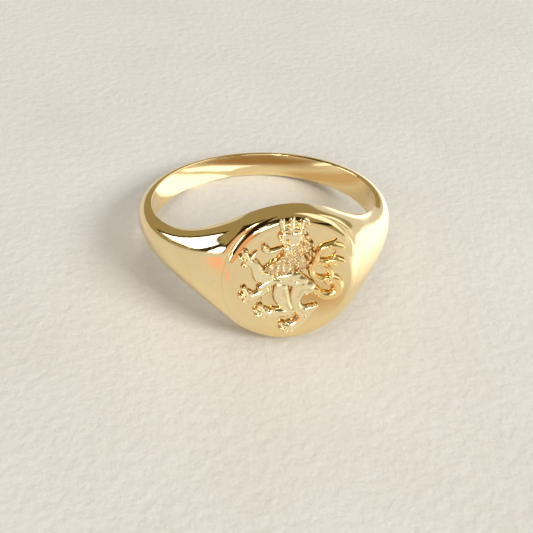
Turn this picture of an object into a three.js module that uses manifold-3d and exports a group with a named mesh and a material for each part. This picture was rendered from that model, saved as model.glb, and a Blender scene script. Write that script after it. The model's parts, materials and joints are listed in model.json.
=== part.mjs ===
// Signet ring: a D-section shank, two flared shoulders, a head with a round table, and a crowned
// heraldic lion in relief on the table. The ring lies on its side, as it does on a bench.
//
// Until the last group lays it down, the ring stands in its own frame: the finger axis is Z, the
// hoop's centre is the origin and the table faces -Y. Lengths are in millimetres, angles in degrees.
import * as THREE from 'three';
import { mergeVertices } from 'three/addons/utils/BufferGeometryUtils.js';
import Module from 'manifold-3d';

const wasm = await Module();
wasm.setup();

// Hoop
const BORE_RADIUS = 8.65;
const SHANK_WALL = 1.1; // thickness of the D section at the back
const BACK_WIDTH = 2.06; // along the finger, opposite the table
const SIDE_WIDTH = 2.76; // what the shank's taper would reach under the table without shoulders
const HEAD_WIDTH = 9.8; // along the finger, under the table
const FLARE_SPREAD = 38.5; // angle over which the shoulders gain their width
const RISE_SPREAD = 40.6; // angle over which the shoulders gain their thickness
const SECTION_POWER = 2.2; // 2 would be a half ellipse, more is squarer
const HEAD_POWER = 3; // added under the table, where the sides stand straight
const HEAD_POWER_SPREAD = 22;

// Head and table
const HEAD_WALL = 2.15; // from the bore to the flat of the table
const TABLE_ACROSS = 9.6; // round the finger
const TABLE_ALONG = 10.1; // along the finger
const TABLE_EDGE_DROP = 0.6; // the table plate's thickness, which its rolled edge falls through
const TABLE_EDGE_ROLL = 0.8; // width of the rolled edge
const FILED_FLAT = 1.7; // how much of the hoop's crest is filed off to make the plate's seat

// Relief
const RELIEF_HEIGHT = 0.45; // crown of the relief over the table
const RELIEF_ROUND = 0.08; // rounding of its upper edges
const FINE_ROUND = 0.03; // the same on crown, tongue, toes and tufts
const TABLE_FROM_CENTRE = 5; // the lion is drawn on a table that reaches 5 units up and down

// Joints between the pieces
const SOLDER_GAP = 0.02;
const HEAD_SEAM = 30; // the head ends and the shoulders begin
const SHANK_SEAM = 75; // the shoulders end and the shank begins

// Fineness of the meshes
const HOOP_STEPS = 72;
const SECTION_STEPS = 14;
const TABLE_STEPS = 40;
const ROLL_STEPS = 4;
const ROUND_STEPS = 6;

const gold = (name, color, roughness) =>
  new THREE.MeshStandardMaterial({ name, color, roughness, metalness: 1 });
const polishedGold = gold('polished_gold', 0xe6c98a, 0.08);
const reliefGold = gold('relief_gold', 0xe0bb72, 0.2);

const tableHeight = BORE_RADIUS + HEAD_WALL; // from the finger axis to the flat of the table
const seatHeight = tableHeight - TABLE_EDGE_DROP; // where the table plate sits on the head
const shoulderRise = seatHeight + FILED_FLAT - BORE_RADIUS - SHANK_WALL; // wall gained towards the table

const radians = THREE.MathUtils.degToRad;
const bell = (angle, spread) => Math.exp(-((angle / radians(spread)) ** 2));

// The hoop's half width along the finger, its wall and its section's power, by angle from the table.
function halfWidthAt(angle) {
  const taper = BACK_WIDTH + ((SIDE_WIDTH - BACK_WIDTH) * (1 + Math.cos(angle))) / 2;
  return (taper + (HEAD_WIDTH - SIDE_WIDTH) * bell(angle, FLARE_SPREAD)) / 2;
}

function wallAt(angle) {
  return SHANK_WALL + shoulderRise * bell(angle, RISE_SPREAD);
}

function powerAt(angle) {
  return SECTION_POWER + HEAD_POWER * bell(angle, HEAD_POWER_SPREAD);
}

// Solids

function toSolid(geometry) {
  const bare = geometry.clone();
  bare.deleteAttribute('normal');
  bare.deleteAttribute('uv');
  const merged = mergeVertices(bare, 1e-4);
  const mesh = new wasm.Mesh({
    numProp: 3,
    vertProperties: new Float32Array(merged.attributes.position.array),
    triVerts: new Uint32Array(merged.index.array),
  });
  return new wasm.Manifold(mesh);
}

function toMesh(name, solid, material) {
  const { vertProperties, triVerts, numProp } = solid.getMesh();
  const geometry = new THREE.BufferGeometry();
  geometry.setAttribute('position', new THREE.BufferAttribute(vertProperties, numProp));
  geometry.setIndex(new THREE.BufferAttribute(triVerts, 1));
  geometry.computeVertexNormals();
  const mesh = new THREE.Mesh(geometry, material);
  mesh.name = name;
  return mesh;
}

// A cut can leave loose slivers at a thin edge, which are filed away.
function largestBody(solid) {
  return solid.decompose().reduce((a, b) => (b.volume() > a.volume() ? b : a));
}

// The whole hoop, turned from a D section and then forged to its width and wall at each angle.
function hoopSolid() {
  const section = [];
  for (let i = 0; i <= SECTION_STEPS; i++) {
    const turn = Math.PI * (i / SECTION_STEPS - 0.5);
    section.push(new THREE.Vector2(BORE_RADIUS + Math.cos(turn), Math.sin(turn)));
  }
  section.push(section[0].clone());
  const geometry = new THREE.LatheGeometry(section, HOOP_STEPS);
  geometry.rotateX(Math.PI / 2);
  const position = geometry.attributes.position;
  for (let i = 0; i < position.count; i++) {
    const x = position.getX(i);
    const y = position.getY(i);
    const side = position.getZ(i);
    const angle = Math.atan2(x, -y);
    const power = 2 / powerAt(angle);
    const out = Math.max(0, Math.hypot(x, y) - BORE_RADIUS);
    const radius = BORE_RADIUS + wallAt(angle) * out ** power;
    const z = halfWidthAt(angle) * Math.sign(side) * Math.abs(side) ** power;
    position.setXYZ(i, radius * Math.sin(angle), -radius * Math.cos(angle), z);
  }
  return toSolid(geometry);
}

// A wedge of the hoop between two angles from the table, with its seams drawn in by half the gap.
function wedgeSolid(from, to) {
  const inset = SOLDER_GAP / 2 / BORE_RADIUS;
  const reach = 3 * (BORE_RADIUS + SHANK_WALL + shoulderRise);
  const width = 2 * (HEAD_WIDTH + TABLE_ALONG);
  const start = radians(from) + inset;
  const end = radians(to) - inset;
  const shape = new THREE.Shape();
  shape.moveTo(0, 0);
  const steps = 8;
  for (let i = 0; i <= steps; i++) {
    const angle = start + ((end - start) * i) / steps;
    shape.lineTo(reach * Math.sin(angle), -reach * Math.cos(angle));
  }
  shape.closePath();
  const geometry = new THREE.ExtrudeGeometry(shape, { depth: width, bevelEnabled: false });
  geometry.translate(0, 0, -width / 2);
  return toSolid(geometry);
}

// The round table plate with its rolled edge, or, with grow, the space it needs.
function plateSolid(grow) {
  const half = TABLE_ACROSS / 2;
  const profile = [new THREE.Vector2(0, -grow), new THREE.Vector2(half + grow, -grow)];
  for (let i = 0; i <= ROLL_STEPS; i++) {
    const turn = ((Math.PI / 2) * i) / ROLL_STEPS;
    const radius = half - TABLE_EDGE_ROLL * (1 - Math.cos(turn)) + grow;
    profile.push(new THREE.Vector2(radius, TABLE_EDGE_DROP * Math.sin(turn) + grow));
  }
  profile.push(new THREE.Vector2(0, TABLE_EDGE_DROP + grow));
  const geometry = new THREE.LatheGeometry(profile, TABLE_STEPS);
  geometry.rotateX(Math.PI);
  geometry.scale(1, 1, TABLE_ALONG / TABLE_ACROSS);
  geometry.translate(0, -seatHeight, 0);
  return toSolid(geometry);
}

// Relief, drawn as seen on the table: x to the right and z up, in units of the lion's own grid.

const unit = TABLE_ALONG / 2 / TABLE_FROM_CENTRE;

function closedShape(points) {
  const curve = new THREE.CatmullRomCurve3(
    points.map(([x, z]) => new THREE.Vector3(x * unit, z * unit, 0)),
    true,
    'catmullrom',
    0.5,
  );
  const outline = curve.getPoints(points.length * 3).slice(0, -1);
  return new THREE.Shape(outline.map((p) => new THREE.Vector2(p.x, p.y)));
}

// A limb follows a centre line of [x, z, half width] and ends in half circles.
function limbShape(stations) {
  const line = new THREE.CatmullRomCurve3(
    stations.map(([x, z, w]) => new THREE.Vector3(x * unit, z * unit, w * unit)),
    false,
    'catmullrom',
    0.5,
  );
  const steps = (stations.length - 1) * 3;
  const left = [];
  const right = [];
  for (let i = 0; i <= steps; i++) {
    const p = line.getPoint(i / steps);
    const t = line.getTangent(i / steps);
    const side = new THREE.Vector2(-t.y, t.x).normalize().multiplyScalar(p.z);
    left.push(new THREE.Vector2(p.x + side.x, p.y + side.y));
    right.push(new THREE.Vector2(p.x - side.x, p.y - side.y));
  }
  const cap = (from, to) => {
    const centre = from.clone().add(to).multiplyScalar(0.5);
    const arm = from.clone().sub(centre);
    const bend = (i) => arm.clone().rotateAround(new THREE.Vector2(), (-Math.PI * i) / 4);
    return [1, 2, 3].map((i) => bend(i).add(centre));
  };
  const end = cap(left[steps], right[steps]);
  const start = cap(right[0], left[0]);
  return new THREE.Shape([...left, ...end, ...right.reverse(), ...start]);
}

// One raised form: its outline stood on the table, with rounded upper edges.
function raised(shape, round, grow) {
  const foot = TABLE_EDGE_DROP / 2;
  const geometry = new THREE.ExtrudeGeometry(shape, {
    depth: foot + RELIEF_HEIGHT - 2 * round * unit,
    bevelEnabled: true,
    bevelThickness: round * unit,
    bevelSize: round * unit,
    bevelOffset: grow - round * unit,
    bevelSegments: 1,
    curveSegments: 4,
  });
  geometry.translate(0, 0, round * unit);
  geometry.rotateX(Math.PI / 2);
  geometry.translate(0, -(tableHeight - foot), 0);
  return toSolid(geometry);
}

const joined = (solids) => solids.reduce((a, b) => a.add(b));

const rounded = (points) => (grow) => raised(closedShape(points), RELIEF_ROUND, grow);
const crisp = (points) => (grow) => raised(closedShape(points), FINE_ROUND, grow);
const limb = (...stations) => (grow) => raised(limbShape(stations), RELIEF_ROUND, grow);
const slim = (...stations) => (grow) => raised(limbShape(stations), FINE_ROUND, grow);
const round = (x, z, radius) => (grow) => {
  const shape = new THREE.Shape().absarc(x * unit, z * unit, radius * unit, 0, 2 * Math.PI);
  return raised(new THREE.Shape(shape.getPoints(ROUND_STEPS).slice(0, -1)), RELIEF_ROUND, grow);
};
const together = (...forms) => (grow) => joined(forms.map((form) => form(grow)));

// A paw: a round pad and three spread toes, each from the pad to its claw.
function paw(x, z, pad, ...claws) {
  const toes = claws.map(([cx, cz]) => slim([x, z, 0.16], [(x + cx) / 2, (z + cz) / 2, 0.15], [cx, cz, 0.1]));
  return together(round(x, z, pad), ...toes);
}

// Listed from the front of the relief to its back: a form is cut back where an earlier one lies.
const lion = {
  lion_crown: crisp([
    [-0.9, 4.06], [-0.94, 4.5], [-0.8, 4.8], [-0.52, 4.5], [-0.2, 4.9], [0.1, 4.5],
    [0.5, 4.75], [0.88, 4.45], [0.62, 4.28], [0.62, 4.06], [-0.1, 4.02],
  ]),
  lion_head: together(
    rounded([[-0.96, 3.55], [-0.8, 3.9], [-0.2, 3.98], [0.42, 3.9], [0.5, 3.4], [0.1, 3.02], [-0.6, 3.1]]),
    limb([-0.5, 2.55, 0.3], [-0.15, 2.75, 0.34], [0.15, 3.2, 0.34]),
  ),
  lion_tongue: slim(
    [-0.78, 2.86, 0.1], [-1.25, 2.72, 0.09], [-1.75, 2.62, 0.12], [-2.0, 2.85, 0.14], [-1.95, 3.08, 0.1],
  ),
  lion_mane: rounded([
    [0.5, 3.85], [1.05, 3.4], [1.32, 2.7], [1.3, 1.9], [0.95, 1.1], [0.55, 0.65], [0.2, 0.75],
    [-0.3, 0.55], [-0.9, 0.45], [-1.6, 0.65], [-2.15, 0.85], [-2.2, 1.35], [-1.7, 1.65],
    [-1.1, 1.95], [-0.6, 2.15], [-0.2, 2.3], [0.2, 2.8],
  ]),
  lion_tail: together(
    limb([1.62, -0.35, 0.17], [1.8, -0.9, 0.2], [2.2, -1.25, 0.22], [2.7, -1.3, 0.22], [3.12, -1.0, 0.22],
      [3.2, -0.5, 0.2], [2.95, -0.08, 0.18], [2.5, 0.1, 0.18], [2.0, 0.12, 0.16], [1.5, 0.25, 0.18],
      [1.25, 0.65, 0.2], [1.35, 1.1, 0.2], [1.6, 1.5, 0.18], [1.62, 2.0, 0.17], [1.85, 2.42, 0.2],
      [2.35, 2.65, 0.22], [2.85, 2.62, 0.24], [3.25, 2.45, 0.14]),
    limb([2.62, 0.1, 0.16], [2.58, 0.5, 0.17], [2.3, 0.9, 0.18], [1.8, 1.3, 0.2]),
    limb([1.7, 1.5, 0.2], [2.25, 1.38, 0.22], [2.8, 1.42, 0.26], [3.3, 1.38, 0.14]),
    round(2.5, -0.24, 0.24),
  ),
  lion_foreleg_upper: together(
    limb([-2.1, 0.55, 0.28], [-2.42, 0.85, 0.34], [-2.38, 1.35, 0.3], [-2.72, 1.8, 0.24], [-3.05, 2.1, 0.26]),
    paw(-3.12, 2.1, 0.3, [-3.3, 2.85], [-3.58, 2.4], [-3.3, 1.62]),
    slim([-2.8, 2.05, 0.14], [-2.58, 2.55, 0.12]),
  ),
  lion_foreleg_lower: together(
    limb(
      [-1.5, 0.3, 0.26], [-1.95, 0.0, 0.26], [-2.3, -0.35, 0.24], [-2.75, -0.68, 0.22], [-3.1, -0.65, 0.26],
    ),
    paw(-3.2, -0.6, 0.28, [-3.48, -0.05], [-3.6, -0.6], [-3.3, -1.18]),
    slim([-2.75, -0.7, 0.14], [-2.3, -1.0, 0.11]),
  ),
  lion_hindleg_near: together(
    limb([0.35, -0.6, 0.5], [0.12, -1.3, 0.34], [0.3, -2.0, 0.34], [0.85, -2.45, 0.42], [1.6, -2.1, 0.18]),
    limb([1.2, -2.5, 0.3], [0.85, -2.95, 0.26], [0.4, -3.35, 0.26], [-0.1, -3.6, 0.3]),
    paw(-0.3, -3.55, 0.34, [-0.85, -3.4], [-0.6, -3.95], [-0.1, -4.0]),
  ),
  lion_hindleg_far: together(
    limb([-0.75, -0.75, 0.52], [-0.95, -1.3, 0.42], [-0.6, -1.9, 0.34], [-0.35, -2.25, 0.3]),
    limb([-0.4, -2.3, 0.24], [-1.1, -2.3, 0.26], [-1.75, -2.35, 0.24]),
    paw(-2.15, -2.1, 0.3, [-2.4, -1.55], [-2.68, -1.9], [-2.2, -2.62]),
  ),
  lion_body: rounded([
    [-1.5, 0.45], [-0.6, 0.8], [0.1, 0.95], [0.5, 0.35], [1.1, 0.1], [1.62, -0.4], [1.5, -0.95],
    [0.9, -1.15], [0.2, -1.1], [-0.25, -0.75], [-0.8, -0.15], [-1.4, 0.0],
  ]),
};

// Pieces of the ring's own metal

// The hoop stops under the table plate, at the plate's seat.
const cutOff = new THREE.BoxGeometry(4 * tableHeight, 2 * tableHeight, 4 * HEAD_WIDTH);
cutOff.translate(0, -(seatHeight + tableHeight), 0);
const hoop = hoopSolid().subtract(toSolid(cutOff));

const pieces = new THREE.Group();
const addPiece = (name, solid, material) => pieces.add(toMesh(name, largestBody(solid), material));

const plateSpace = plateSolid(SOLDER_GAP);
addPiece('shank', hoop.intersect(wedgeSolid(SHANK_SEAM, 360 - SHANK_SEAM)), polishedGold);
for (const [name, from, to] of [
  ['shoulder_left', -SHANK_SEAM, -HEAD_SEAM],
  ['shoulder_right', HEAD_SEAM, SHANK_SEAM],
  ['head_block', -HEAD_SEAM, HEAD_SEAM],
]) {
  addPiece(name, hoop.intersect(wedgeSolid(from, to)).subtract(plateSpace), polishedGold);
}
addPiece('table_plate', plateSolid(0), polishedGold);

let taken = plateSpace;
for (const [name, form] of Object.entries(lion)) {
  addPiece(name, form(0).subtract(taken), reliefGold);
  taken = taken.add(form(SOLDER_GAP));
}

// Laid on its side, the ring touches the bench at the head's edge and at the back of the shank.

const points = [];
pieces.traverse((mesh) => {
  if (!mesh.isMesh) return;
  const position = mesh.geometry.attributes.position;
  for (let i = 0; i < position.count; i++) points.push(new THREE.Vector3().fromBufferAttribute(position, i));
});
const heightAt = (p, tilt) => -p.y * Math.sin(tilt) + p.z * Math.cos(tilt);
const lowest = (list, tilt) => Math.min(...list.map((p) => heightAt(p, tilt)));
const headPoints = points.filter((p) => p.y < 0);
const backPoints = points.filter((p) => p.y >= 0);
let flat = 0;
let steep = Math.PI / 4;
for (let i = 0; i < 40; i++) {
  const middle = (flat + steep) / 2;
  if (lowest(headPoints, middle) < lowest(backPoints, middle)) flat = middle;
  else steep = middle;
}
pieces.rotation.x = -flat;

const ring = new THREE.Group();
ring.name = 'signet_ring';
ring.add(pieces);
ring.updateMatrixWorld(true);
const box = new THREE.Box3().setFromObject(ring, true);
pieces.position.set(0, -(box.min.y + box.max.y) / 2, -box.min.z);

export default ring;
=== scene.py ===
# %% [markdown]
# # A gold signet ring with a lion in relief
# The ring is a D-section hoop that grows into two shoulders and a head. A round plate, the table,
# sits on the head, and a crowned lion stands on the table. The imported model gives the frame: every
# piece below stands for one of its solids and keeps that solid's place and size.

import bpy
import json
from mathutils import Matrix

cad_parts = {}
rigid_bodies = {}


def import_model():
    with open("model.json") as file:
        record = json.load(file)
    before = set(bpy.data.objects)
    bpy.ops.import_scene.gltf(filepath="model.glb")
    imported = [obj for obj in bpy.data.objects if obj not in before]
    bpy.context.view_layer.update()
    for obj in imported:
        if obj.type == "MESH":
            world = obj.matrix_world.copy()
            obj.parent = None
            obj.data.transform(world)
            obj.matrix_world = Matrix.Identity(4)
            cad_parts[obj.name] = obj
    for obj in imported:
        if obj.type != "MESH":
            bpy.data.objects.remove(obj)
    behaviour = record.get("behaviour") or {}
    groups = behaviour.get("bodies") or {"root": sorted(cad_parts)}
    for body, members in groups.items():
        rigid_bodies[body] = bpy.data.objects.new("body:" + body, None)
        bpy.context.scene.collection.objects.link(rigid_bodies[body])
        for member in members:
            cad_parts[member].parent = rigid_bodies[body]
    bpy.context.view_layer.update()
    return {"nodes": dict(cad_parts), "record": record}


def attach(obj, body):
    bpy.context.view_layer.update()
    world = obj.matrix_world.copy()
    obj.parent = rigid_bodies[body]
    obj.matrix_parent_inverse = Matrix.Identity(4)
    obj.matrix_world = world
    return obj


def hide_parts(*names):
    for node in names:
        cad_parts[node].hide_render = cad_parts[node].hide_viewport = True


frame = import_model()
print("solids:", len(frame["nodes"]))

# %% Tools
import json
import math
import random

import bmesh
import bpy
import numpy as np
from mathutils import Matrix, Vector

# %% [markdown]
# ## The ring's own frame
# A ring is easiest to think of upright: the finger goes along Z, the hoop's centre is the origin and
# the table looks along -Y. All shapes are made there, in millimetres. One matrix then lays them down
# on the bench, in metres. The record's finger hole says where the hoop's centre and axis are.

# %% From the ring's own frame to the bench
hole = frame["record"]["mounts"][0]
finger_axis = Vector(hole["axis"])
lean = math.atan2(finger_axis.y, finger_axis.z)
METRES_PER_MM = 0.001
to_bench = (
    Matrix.Translation(hole["pos_m"])
    @ Matrix.Rotation(-lean, 4, "X")
    @ Matrix.Scale(METRES_PER_MM, 4)
)
print("the hoop leans back by", round(math.degrees(lean), 2), "degrees")

# %% [markdown]
# ## Camera
# The view comes from a little to the left of the head and from well above it, close enough for the
# back of the hoop to look smaller than its front. A longer lens would flatten that.

# %% Camera
EYE_DISTANCE = 63.39
EYE_LIFT = math.radians(27.24)
EYE_TURN = math.radians(-11.06)
AIM = Vector((-0.12, -2.22, -3.92))
CAMERA_ROLL = math.radians(0.57)
LENS = 54.03
SENSOR = 36

flat_reach = EYE_DISTANCE * math.cos(EYE_LIFT)
eye = Vector((
    flat_reach * math.sin(EYE_TURN),
    -flat_reach * math.cos(EYE_TURN),
    EYE_DISTANCE * math.sin(EYE_LIFT),
))
backward = (eye - AIM).normalized()
sideways = Vector((0, 0, 1)).cross(backward).normalized()
upward = backward.cross(sideways)
facing = Matrix((sideways, upward, backward)).transposed().to_4x4()
bench_turn = Matrix.Rotation(-lean, 4, "X")

camera_data = bpy.data.cameras.new("camera")
camera_data.lens = LENS
camera_data.sensor_width = SENSOR
camera_data.clip_start = 0.001
camera = bpy.data.objects.new("camera", camera_data)
bpy.context.scene.collection.objects.link(camera)
camera.matrix_world = (
    Matrix.Translation(to_bench @ eye) @ bench_turn @ facing @ Matrix.Rotation(CAMERA_ROLL, 4, "Z")
)
bpy.context.scene.camera = camera
print("camera at", [round(v, 4) for v in camera.matrix_world.translation])

# %% [markdown]
# ## Where the pieces come from
# Each finished mesh is handed to one helper. It lays the mesh on the bench, makes an object of it,
# lets it ride on the ring's body, gives it its finish and hides the solid that it stands for.

# %% Finish a piece
def finish_piece(bm, name, material):
    """Turns a bmesh in millimetres into the piece that stands for the solid of that name."""
    mesh = bpy.data.meshes.new(name)
    bm.to_mesh(mesh)
    bm.free()
    mesh.transform(to_bench)
    for face in mesh.polygons:
        face.use_smooth = True
    mesh.materials.append(material)
    piece = bpy.data.objects.new(name, mesh)
    bpy.context.scene.collection.objects.link(piece)
    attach(piece, "root")
    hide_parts(name.replace("gold_", ""))
    return piece


# %% [markdown]
# ## The finishes
# Polished gold is a clean metal: no diffuse colour at all, only a warm mirror. Pure smoothness looks
# like plastic chrome, so the polish gets what a polishing wheel leaves: slow swells that bend the
# reflections a little, a haze that comes and goes, and hairlines too fine to count.

# %% A material to start from
def new_material(name):
    """An empty material with one shader in it."""
    material = bpy.data.materials.new(name)
    material.use_nodes = True
    nodes = material.node_tree.nodes
    nodes.clear()
    shader = nodes.new("ShaderNodeBsdfPrincipled")
    output = nodes.new("ShaderNodeOutputMaterial")
    material.node_tree.links.new(shader.outputs["BSDF"], output.inputs["Surface"])
    return material, shader


def millimetres(material, scale=(1, 1, 1), turn=(0, 0, 0)):
    """Object coordinates in millimetres, stretched and turned if asked."""
    tree = material.node_tree
    place = tree.nodes.new("ShaderNodeTexCoord")
    mapping = tree.nodes.new("ShaderNodeMapping")
    mapping.inputs["Scale"].default_value = [value / METRES_PER_MM for value in scale]
    mapping.inputs["Rotation"].default_value = turn
    tree.links.new(place.outputs["Object"], mapping.inputs["Vector"])
    return mapping.outputs["Vector"]


# %% Noise and its range
def noise(material, vector, scale, detail=2.0, roughness=0.5):
    """Cloudy noise with about scale clouds to the millimetre."""
    tree = material.node_tree
    node = tree.nodes.new("ShaderNodeTexNoise")
    node.inputs["Scale"].default_value = scale
    node.inputs["Detail"].default_value = detail
    node.inputs["Roughness"].default_value = roughness
    tree.links.new(vector, node.inputs["Vector"])
    return node.outputs["Fac"]


def spread(material, value, low, high, first=0.3, last=0.7):
    """Stretches a noise value from low to high."""
    tree = material.node_tree
    node = tree.nodes.new("ShaderNodeMapRange")
    node.inputs["From Min"].default_value = first
    node.inputs["From Max"].default_value = last
    node.inputs["To Min"].default_value = low
    node.inputs["To Max"].default_value = high
    tree.links.new(value, node.inputs["Value"])
    return node.outputs["Result"]


# %% Blend and bump
def blend_colours(material, factor, first, second):
    """The first colour where the factor is 0 and the second where it is 1."""
    tree = material.node_tree
    node = tree.nodes.new("ShaderNodeMix")
    node.data_type = "RGBA"
    node.inputs["A"].default_value = (*first, 1)
    node.inputs["B"].default_value = (*second, 1)
    tree.links.new(factor, node.inputs["Factor"])
    return node.outputs["Result"]


def bump(material, height, depth_mm, below=None):
    """Raises the surface by depth_mm where the height value is 1."""
    tree = material.node_tree
    node = tree.nodes.new("ShaderNodeBump")
    node.inputs["Distance"].default_value = depth_mm * METRES_PER_MM
    tree.links.new(height, node.inputs["Height"])
    if below is not None:
        tree.links.new(below, node.inputs["Normal"])
    return node.outputs["Normal"]


# %% Polished gold
GOLD_PALE = (0.97, 0.79, 0.46)
GOLD_WARM = (0.95, 0.75, 0.41)
POLISH_HAZE = (0.045, 0.085)
SWELL_DEPTH = 0.004
HAIRLINE_DEPTH = 0.0003


def polished_gold():
    """A warm mirror with swells, haze and hairlines."""
    material, shader = new_material("polished_gold")
    link = material.node_tree.links.new
    place = millimetres(material)
    shader.inputs["Metallic"].default_value = 1
    tone = spread(material, noise(material, place, 0.35), 0, 1)
    link(blend_colours(material, tone, GOLD_PALE, GOLD_WARM), shader.inputs["Base Color"])
    haze = spread(material, noise(material, place, 1.1, detail=4), *POLISH_HAZE)
    link(haze, shader.inputs["Roughness"])
    swell = bump(material, noise(material, place, 0.55, detail=1), SWELL_DEPTH)
    hairline_space_and_painted_shade = millimetres(material, scale=(1.2, 9, 1.2), turn=(0.5, 0.3, 0.6))
    hairlines = bump(material, noise(material, hairline_space_and_painted_shade, 9, detail=3), HAIRLINE_DEPTH, below=swell)
    link(hairlines, shader.inputs["Normal"])
    return material


POLISHED = polished_gold()
print("finishes:", [material.name for material in bpy.data.materials if material.users])

# %% [markdown]
# ## The hoop's law
# One law gives the whole hoop. Round the finger, the width and the wall swell towards the table as
# two bell curves over an even taper, and the section changes from a D to a squarer D. The same law
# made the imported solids, so pieces made from it fit them.

# %% Sizes of the hoop
BORE_RADIUS = hole["dims"]["r_mm"]
SHANK_WALL = 1.1
BACK_WIDTH = 2.06
SIDE_WIDTH = 2.76
HEAD_WIDTH = hole["dims"]["length_mm"]
FLARE_SPREAD = 38.5
RISE_SPREAD = 40.6
SECTION_POWER = 2.2
HEAD_POWER = 3
HEAD_POWER_SPREAD = 22
HEAD_WALL = 2.15
TABLE_EDGE_DROP = 0.6
FILED_FLAT = 1.7
EDGE_ROUND = 0.11
SEAT_ROUND = 0.22

table_height = BORE_RADIUS + HEAD_WALL
seat_height = table_height - TABLE_EDGE_DROP
shoulder_rise = seat_height + FILED_FLAT - BORE_RADIUS - SHANK_WALL


def bell(angle, width):
    """1 at the table, falling away round the finger within about width degrees."""
    return math.exp(-((angle / math.radians(width)) ** 2))


def half_width_at(angle):
    """Half the hoop's width along the finger."""
    taper = BACK_WIDTH + (SIDE_WIDTH - BACK_WIDTH) * (1 + math.cos(angle)) / 2
    return (taper + (HEAD_WIDTH - SIDE_WIDTH) * bell(angle, FLARE_SPREAD)) / 2


def wall_at(angle):
    """Thickness of the wall before the seat is filed flat."""
    return SHANK_WALL + shoulder_rise * bell(angle, RISE_SPREAD)


def power_at(angle):
    """2 would be an ellipse; a higher power is a squarer section."""
    return SECTION_POWER + HEAD_POWER * bell(angle, HEAD_POWER_SPREAD)


print("half width at the table", round(half_width_at(0), 2))
print("half width at the back", round(half_width_at(math.pi), 2))

# %% [markdown]
# ## One section of the hoop
# The section is a crown curve, a small rounded edge and the straight line of the bore. Under the
# table the crown is filed flat, with a soft corner where the file stopped. The points are shared out
# half by length and half by how much the outline turns, so tight edges get enough of them.

# %% One section
CROWN_STEPS = 260
EDGE_STEPS = 24
SHORTEST_STEP = 1e-6


def file_flat(distance, limit):
    """The smaller of the two, with a soft corner between them."""
    gap = np.clip((SEAT_ROUND - np.abs(distance - limit)) / SEAT_ROUND, 0, None)
    return np.minimum(distance, limit) - gap * gap * SEAT_ROUND / 4


def half_outline(angle):
    """Distance from the finger axis and distance along it, from the crest round to the bore."""
    half_width = half_width_at(angle)
    wall = wall_at(angle)
    power = power_at(angle)
    turn = np.linspace(0, math.pi / 2, CROWN_STEPS)
    along = half_width * np.sin(turn) ** (2 / power)
    out = BORE_RADIUS + EDGE_ROUND + (wall - EDGE_ROUND) * np.cos(turn) ** (2 / power)
    if math.cos(angle) > 0:
        out = file_flat(out, seat_height / math.cos(angle))
    edge = np.linspace(0, math.pi / 2, EDGE_STEPS)[1:]
    edge_along = half_width - EDGE_ROUND * (1 - np.cos(edge))
    edge_out = BORE_RADIUS + EDGE_ROUND * (1 - np.sin(edge))
    bore_along = np.linspace(half_width - EDGE_ROUND, 0, EDGE_STEPS)[1:]
    bore_out = np.full(len(bore_along), BORE_RADIUS)
    return np.concatenate([out, edge_out, bore_out]), np.concatenate([along, edge_along, bore_along])


# %% Even stations on the section
def section_at(angle, stations):
    """The outline at even stations, 0 on the crest and 1 at the middle of the bore."""
    out, along = half_outline(angle)
    step = np.hypot(np.diff(out), np.diff(along))
    keep = np.concatenate([[True], step > SHORTEST_STEP])
    out, along = out[keep], along[keep]
    step = np.hypot(np.diff(out), np.diff(along))
    heading = np.unwrap(np.arctan2(np.diff(along), np.diff(out)))
    bend = np.abs(np.diff(heading, prepend=heading[0]))
    share = step / step.sum() + bend / bend.sum()
    travelled = np.concatenate([[0], np.cumsum(share)]) / share.sum()
    middle = (travelled[1:] + travelled[:-1]) / 2
    turn = np.interp(stations, middle, heading)
    return np.interp(stations, travelled, out), np.interp(stations, travelled, along), turn


# %% [markdown]
# ## Forging a stretch of hoop
# A round wire is bent first and forged second. The wire is a circle spun round the finger between
# two seams. Forging then moves each of its points out to the law: the point keeps its angle round the
# finger and its turn round the wire. Each end is closed with one flat face, as a saw leaves it.

# %% Points and directions at one angle
HALF_SECTION_POINTS = 96
BEND_RADIUS = 5
NUDGE = math.radians(0.15)


def skin_point(angle, out, along):
    """A point from its angle round the finger, its distance out and its distance along."""
    return np.stack([out * math.sin(angle), -out * math.cos(angle), along], axis=-1)


def forge_ring(angle):
    """Points and outward directions of the skin at one angle, all the way round the section."""
    stations = np.linspace(0, 1, HALF_SECTION_POINTS + 1)
    out, along, turn = section_at(angle, stations)
    before = skin_point(angle - NUDGE, *section_at(angle - NUDGE, stations)[:2])
    after = skin_point(angle + NUDGE, *section_at(angle + NUDGE, stations)[:2])
    round_finger = after - before
    slope = np.stack([np.cos(turn) * math.sin(angle), -np.cos(turn) * math.cos(angle), np.sin(turn)], axis=-1)
    direction = np.cross(slope, round_finger)
    direction /= np.linalg.norm(direction, axis=-1, keepdims=True)
    direction *= np.sign(direction[0] @ skin_point(angle, 1, 0)) or 1
    points = skin_point(angle, out, along)
    flip = np.array([1, 1, -1])
    back_half = slice(HALF_SECTION_POINTS - 1, 0, -1)
    direction[0, 2] = 0
    direction[-1, 2] = 0
    return (
        np.concatenate([points, points[back_half] * flip]),
        np.concatenate([direction, direction[back_half] * flip]),
    )


# %% Bend the wire
def bend_wire(first, last, steps):
    """A round wire, bent round the finger from the first seam to the last."""
    bm = bmesh.new()
    bmesh.ops.create_circle(bm, segments=2 * HALF_SECTION_POINTS, radius=1)
    bmesh.ops.rotate(bm, verts=bm.verts, matrix=Matrix.Rotation(math.pi / 2, 3, "X"))
    bmesh.ops.translate(bm, verts=bm.verts, vec=(BEND_RADIUS, 0, 0))
    start = Matrix.Rotation(math.radians(first - 90), 3, "Z")
    bmesh.ops.rotate(bm, verts=bm.verts, matrix=start)
    bmesh.ops.spin(
        bm, geom=bm.edges[:], axis=(0, 0, 1), cent=(0, 0, 0),
        angle=math.radians(last - first), steps=steps, use_merge=False,
    )
    return bm


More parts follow.
